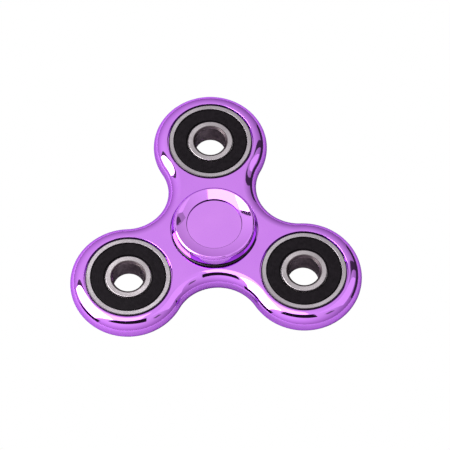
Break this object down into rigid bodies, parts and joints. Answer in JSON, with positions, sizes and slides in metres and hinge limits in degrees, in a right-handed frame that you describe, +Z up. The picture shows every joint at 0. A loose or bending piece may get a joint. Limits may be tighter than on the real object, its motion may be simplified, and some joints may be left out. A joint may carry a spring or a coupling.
{
  "type": "fidget spinner",
  "caption": "Fidget spinner with rounded lobes in mirror-plated plastic, an open sealed ball bearing in each lobe, and dished finger caps on the centre bearing.",
  "frame": {"origin": "on the spin axis, in the plane that the lower cap's rim rests on", "axes": "+Z up along the spin axis, +Y towards lobe_a; lobe_b and lobe_c follow 120 and 240 degrees anticlockwise from above"},
  "size_m": [0.075, 0.069, 0.0134],
  "materials": {
    "body": "mirror purple plating on moulded plastic",
    "caps": "mirror purple plating on moulded plastic",
    "outer_rings": "fine-ground bearing steel",
    "inner_rings": "fine-ground bearing steel",
    "balls": "polished bearing steel",
    "cages": "pressed steel strip",
    "seals": "moulded nitrile rubber"
  },
  "bodies": {
    "hub": {"upper_cap": "caps", "lower_cap": "caps", "centre_inner_ring": "inner_rings"},
    "rotor": {"body": "body", "centre_outer_ring": "outer_rings", "lobe_a_outer_ring": "outer_rings", "lobe_b_outer_ring": "outer_rings", "lobe_c_outer_ring": "outer_rings", "centre_upper_seal": "seals", "centre_lower_seal": "seals", "lobe_a_upper_seal": "seals", "lobe_a_lower_seal": "seals", "lobe_b_upper_seal": "seals", "lobe_b_lower_seal": "seals", "lobe_c_upper_seal": "seals", "lobe_c_lower_seal": "seals"},
    "centre_cage": {"centre_upper_cage": "cages", "centre_lower_cage": "cages"},
    "centre_ball_1": {"centre_ball_1": "balls"},
    "centre_ball_2": {"centre_ball_2": "balls"},
    "centre_ball_3": {"centre_ball_3": "balls"},
    "centre_ball_4": {"centre_ball_4": "balls"},
    "centre_ball_5": {"centre_ball_5": "balls"},
    "centre_ball_6": {"centre_ball_6": "balls"},
    "centre_ball_7": {"centre_ball_7": "balls"},
    "lobe_a_inner": {"lobe_a_inner_ring": "inner_rings"},
    "lobe_a_cage": {"lobe_a_upper_cage": "cages", "lobe_a_lower_cage": "cages"},
    "lobe_a_ball_1": {"lobe_a_ball_1": "balls"},
    "lobe_a_ball_2": {"lobe_a_ball_2": "balls"},
    "lobe_a_ball_3": {"lobe_a_ball_3": "balls"},
    "lobe_a_ball_4": {"lobe_a_ball_4": "balls"},
    "lobe_a_ball_5": {"lobe_a_ball_5": "balls"},
    "lobe_a_ball_6": {"lobe_a_ball_6": "balls"},
    "lobe_a_ball_7": {"lobe_a_ball_7": "balls"},
    "lobe_b_inner": {"lobe_b_inner_ring": "inner_rings"},
    "lobe_b_cage": {"lobe_b_upper_cage": "cages", "lobe_b_lower_cage": "cages"},
    "lobe_b_ball_1": {"lobe_b_ball_1": "balls"},
    "lobe_b_ball_2": {"lobe_b_ball_2": "balls"},
    "lobe_b_ball_3": {"lobe_b_ball_3": "balls"},
    "lobe_b_ball_4": {"lobe_b_ball_4": "balls"},
    "lobe_b_ball_5": {"lobe_b_ball_5": "balls"},
    "lobe_b_ball_6": {"lobe_b_ball_6": "balls"},
    "lobe_b_ball_7": {"lobe_b_ball_7": "balls"},
    "lobe_c_inner": {"lobe_c_inner_ring": "inner_rings"},
    "lobe_c_cage": {"lobe_c_upper_cage": "cages", "lobe_c_lower_cage": "cages"},
    "lobe_c_ball_1": {"lobe_c_ball_1": "balls"},
    "lobe_c_ball_2": {"lobe_c_ball_2": "balls"},
    "lobe_c_ball_3": {"lobe_c_ball_3": "balls"},
    "lobe_c_ball_4": {"lobe_c_ball_4": "balls"},
    "lobe_c_ball_5": {"lobe_c_ball_5": "balls"},
    "lobe_c_ball_6": {"lobe_c_ball_6": "balls"},
    "lobe_c_ball_7": {"lobe_c_ball_7": "balls"}
  },
  "joints": [
    {"name": "spin", "type": "hinge", "parent": "hub", "child": "rotor", "pos_m": [0, 0, 0.0067], "axis": [0, 0, 1], "continuous": true},
    {"name": "centre_cage_turn", "type": "hinge", "parent": "hub", "child": "centre_cage", "pos_m": [0, 0, 0.0067], "axis": [0, 0, 1], "continuous": true},
    {"name": "centre_ball_1_roll", "type": "hinge", "parent": "centre_cage", "child": "centre_ball_1", "pos_m": [0, 0.0075, 0.0067], "axis": [0, 0, 1], "continuous": true},
    {"name": "centre_ball_2_roll", "type": "hinge", "parent": "centre_cage", "child": "centre_ball_2", "pos_m": [-0.00586, 0.00468, 0.0067], "axis": [0, 0, 1], "continuous": true},
    {"name": "centre_ball_3_roll", "type": "hinge", "parent": "centre_cage", "child": "centre_ball_3", "pos_m": [-0.00731, -0.00167, 0.0067], "axis": [0, 0, 1], "continuous": true},
    {"name": "centre_ball_4_roll", "type": "hinge", "parent": "centre_cage", "child": "centre_ball_4", "pos_m": [-0.00325, -0.00676, 0.0067], "axis": [0, 0, 1], "continuous": true},
    {"name": "centre_ball_5_roll", "type": "hinge", "parent": "centre_cage", "child": "centre_ball_5", "pos_m": [0.00325, -0.00676, 0.0067], "axis": [0, 0, 1], "continuous": true},
    {"name": "centre_ball_6_roll", "type": "hinge", "parent": "centre_cage", "child": "centre_ball_6", "pos_m": [0.00731, -0.00167, 0.0067], "axis": [0, 0, 1], "continuous": true},
    {"name": "centre_ball_7_roll", "type": "hinge", "parent": "centre_cage", "child": "centre_ball_7", "pos_m": [0.00586, 0.00468, 0.0067], "axis": [0, 0, 1], "continuous": true},
    {"name": "lobe_a_spin", "type": "hinge", "parent": "rotor", "child": "lobe_a_inner", "pos_m": [0, 0.026, 0.0067], "axis": [0, 0, 1], "continuous": true},
    {"name": "lobe_a_cage_turn", "type": "hinge", "parent": "rotor", "child": "lobe_a_cage", "pos_m": [0, 0.026, 0.0067], "axis": [0, 0, 1], "continuous": true},
    {"name": "lobe_a_ball_1_roll", "type": "hinge", "parent": "lobe_a_cage", "child": "lobe_a_ball_1", "pos_m": [0, 0.0335, 0.0067], "axis": [0, 0, 1], "continuous": true},
    {"name": "lobe_a_ball_2_roll", "type": "hinge", "parent": "lobe_a_cage", "child": "lobe_a_ball_2", "pos_m": [-0.00586, 0.03068, 0.0067], "axis": [0, 0, 1], "continuous": true},
    {"name": "lobe_a_ball_3_roll", "type": "hinge", "parent": "lobe_a_cage", "child": "lobe_a_ball_3", "pos_m": [-0.00731, 0.02433, 0.0067], "axis": [0, 0, 1], "continuous": true},
    {"name": "lobe_a_ball_4_roll", "type": "hinge", "parent": "lobe_a_cage", "child": "lobe_a_ball_4", "pos_m": [-0.00325, 0.01924, 0.0067], "axis": [0, 0, 1], "continuous": true},
    {"name": "lobe_a_ball_5_roll", "type": "hinge", "parent": "lobe_a_cage", "child": "lobe_a_ball_5", "pos_m": [0.00325, 0.01924, 0.0067], "axis": [0, 0, 1], "continuous": true},
    {"name": "lobe_a_ball_6_roll", "type": "hinge", "parent": "lobe_a_cage", "child": "lobe_a_ball_6", "pos_m": [0.00731, 0.02433, 0.0067], "axis": [0, 0, 1], "continuous": true},
    {"name": "lobe_a_ball_7_roll", "type": "hinge", "parent": "lobe_a_cage", "child": "lobe_a_ball_7", "pos_m": [0.00586, 0.03068, 0.0067], "axis": [0, 0, 1], "continuous": true},
    {"name": "lobe_b_spin", "type": "hinge", "parent": "rotor", "child": "lobe_b_inner", "pos_m": [-0.02252, -0.013, 0.0067], "axis": [0, 0, 1], "continuous": true},
    {"name": "lobe_b_cage_turn", "type": "hinge", "parent": "rotor", "child": "lobe_b_cage", "pos_m": [-0.02252, -0.013, 0.0067], "axis": [0, 0, 1], "continuous": true},
    {"name": "lobe_b_ball_1_roll", "type": "hinge", "parent": "lobe_b_cage", "child": "lobe_b_ball_1", "pos_m": [-0.02901, -0.01675, 0.0067], "axis": [0, 0, 1], "continuous": true},
    {"name": "lobe_b_ball_2_roll", "type": "hinge", "parent": "lobe_b_cage", "child": "lobe_b_ball_2", "pos_m": [-0.02363, -0.02042, 0.0067], "axis": [0, 0, 1], "continuous": true},
    {"name": "lobe_b_ball_3_roll", "type": "hinge", "parent": "lobe_b_cage", "child": "lobe_b_ball_3", "pos_m": [-0.01742, -0.0185, 0.0067], "axis": [0, 0, 1], "continuous": true},
    {"name": "lobe_b_ball_4_roll", "type": "hinge", "parent": "lobe_b_cage", "child": "lobe_b_ball_4", "pos_m": [-0.01504, -0.01244, 0.0067], "axis": [0, 0, 1], "continuous": true},
    {"name": "lobe_b_ball_5_roll", "type": "hinge", "parent": "lobe_b_cage", "child": "lobe_b_ball_5", "pos_m": [-0.01829, -0.0068, 0.0067], "axis": [0, 0, 1], "continuous": true},
    {"name": "lobe_b_ball_6_roll", "type": "hinge", "parent": "lobe_b_cage", "child": "lobe_b_ball_6", "pos_m": [-0.02473, -0.00583, 0.0067], "axis": [0, 0, 1], "continuous": true},
    {"name": "lobe_b_ball_7_roll", "type": "hinge", "parent": "lobe_b_cage", "child": "lobe_b_ball_7", "pos_m": [-0.0295, -0.01026, 0.0067], "axis": [0, 0, 1], "continuous": true},
    {"name": "lobe_c_spin", "type": "hinge", "parent": "rotor", "child": "lobe_c_inner", "pos_m": [0.02252, -0.013, 0.0067], "axis": [0, 0, 1], "continuous": true},
    {"name": "lobe_c_cage_turn", "type": "hinge", "parent": "rotor", "child": "lobe_c_cage", "pos_m": [0.02252, -0.013, 0.0067], "axis": [0, 0, 1], "continuous": true},
    {"name": "lobe_c_ball_1_roll", "type": "hinge", "parent": "lobe_c_cage", "child": "lobe_c_ball_1", "pos_m": [0.02901, -0.01675, 0.0067], "axis": [0, 0, 1], "continuous": true},
    {"name": "lobe_c_ball_2_roll", "type": "hinge", "parent": "lobe_c_cage", "child": "lobe_c_ball_2", "pos_m": [0.0295, -0.01026, 0.0067], "axis": [0, 0, 1], "continuous": true},
    {"name": "lobe_c_ball_3_roll", "type": "hinge", "parent": "lobe_c_cage", "child": "lobe_c_ball_3", "pos_m": [0.02473, -0.00583, 0.0067], "axis": [0, 0, 1], "continuous": true},
    {"name": "lobe_c_ball_4_roll", "type": "hinge", "parent": "lobe_c_cage", "child": "lobe_c_ball_4", "pos_m": [0.01829, -0.0068, 0.0067], "axis": [0, 0, 1], "continuous": true},
    {"name": "lobe_c_ball_5_roll", "type": "hinge", "parent": "lobe_c_cage", "child": "lobe_c_ball_5", "pos_m": [0.01504, -0.01244, 0.0067], "axis": [0, 0, 1], "continuous": true},
    {"name": "lobe_c_ball_6_roll", "type": "hinge", "parent": "lobe_c_cage", "child": "lobe_c_ball_6", "pos_m": [0.01742, -0.0185, 0.0067], "axis": [0, 0, 1], "continuous": true},
    {"name": "lobe_c_ball_7_roll", "type": "hinge", "parent": "lobe_c_cage", "child": "lobe_c_ball_7", "pos_m": [0.02363, -0.02042, 0.0067], "axis": [0, 0, 1], "continuous": true}
  ],
  "couplings": [
    {"joint": "centre_cage_turn", "follows": "spin", "ratio": 0.6323},
    {"joint": "centre_ball_1_roll", "follows": "spin", "ratio": 1.7573},
    {"joint": "centre_ball_2_roll", "follows": "spin", "ratio": 1.7573},
    {"joint": "centre_ball_3_roll", "follows": "spin", "ratio": 1.7573},
    {"joint": "centre_ball_4_roll", "follows": "spin", "ratio": 1.7573},
    {"joint": "centre_ball_5_roll", "follows": "spin", "ratio": 1.7573},
    {"joint": "centre_ball_6_roll", "follows": "spin", "ratio": 1.7573},
    {"joint": "centre_ball_7_roll", "follows": "spin", "ratio": 1.7573},
    {"joint": "lobe_a_cage_turn", "follows": "lobe_a_spin", "ratio": 0.3677},
    {"joint": "lobe_a_ball_1_roll", "follows": "lobe_a_spin", "ratio": -1.7573},
    {"joint": "lobe_a_ball_2_roll", "follows": "lobe_a_spin", "ratio": -1.7573},
    {"joint": "lobe_a_ball_3_roll", "follows": "lobe_a_spin", "ratio": -1.7573},
    {"joint": "lobe_a_ball_4_roll", "follows": "lobe_a_spin", "ratio": -1.7573},
    {"joint": "lobe_a_ball_5_roll", "follows": "lobe_a_spin", "ratio": -1.7573},
    {"joint": "lobe_a_ball_6_roll", "follows": "lobe_a_spin", "ratio": -1.7573},
    {"joint": "lobe_a_ball_7_roll", "follows": "lobe_a_spin", "ratio": -1.7573},
    {"joint": "lobe_b_cage_turn", "follows": "lobe_b_spin", "ratio": 0.3677},
    {"joint": "lobe_b_ball_1_roll", "follows": "lobe_b_spin", "ratio": -1.7573},
    {"joint": "lobe_b_ball_2_roll", "follows": "lobe_b_spin", "ratio": -1.7573},
    {"joint": "lobe_b_ball_3_roll", "follows": "lobe_b_spin", "ratio": -1.7573},
    {"joint": "lobe_b_ball_4_roll", "follows": "lobe_b_spin", "ratio": -1.7573},
    {"joint": "lobe_b_ball_5_roll", "follows": "lobe_b_spin", "ratio": -1.7573},
    {"joint": "lobe_b_ball_6_roll", "follows": "lobe_b_spin", "ratio": -1.7573},
    {"joint": "lobe_b_ball_7_roll", "follows": "lobe_b_spin", "ratio": -1.7573},
    {"joint": "lobe_c_cage_turn", "follows": "lobe_c_spin", "ratio": 0.3677},
    {"joint": "lobe_c_ball_1_roll", "follows": "lobe_c_spin", "ratio": -1.7573},
    {"joint": "lobe_c_ball_2_roll", "follows": "lobe_c_spin", "ratio": -1.7573},
    {"joint": "lobe_c_ball_3_roll", "follows": "lobe_c_spin", "ratio": -1.7573},
    {"joint": "lobe_c_ball_4_roll", "follows": "lobe_c_spin", "ratio": -1.7573},
    {"joint": "lobe_c_ball_5_roll", "follows": "lobe_c_spin", "ratio": -1.7573},
    {"joint": "lobe_c_ball_6_roll", "follows": "lobe_c_spin", "ratio": -1.7573},
    {"joint": "lobe_c_ball_7_roll", "follows": "lobe_c_spin", "ratio": -1.7573}
  ]
}
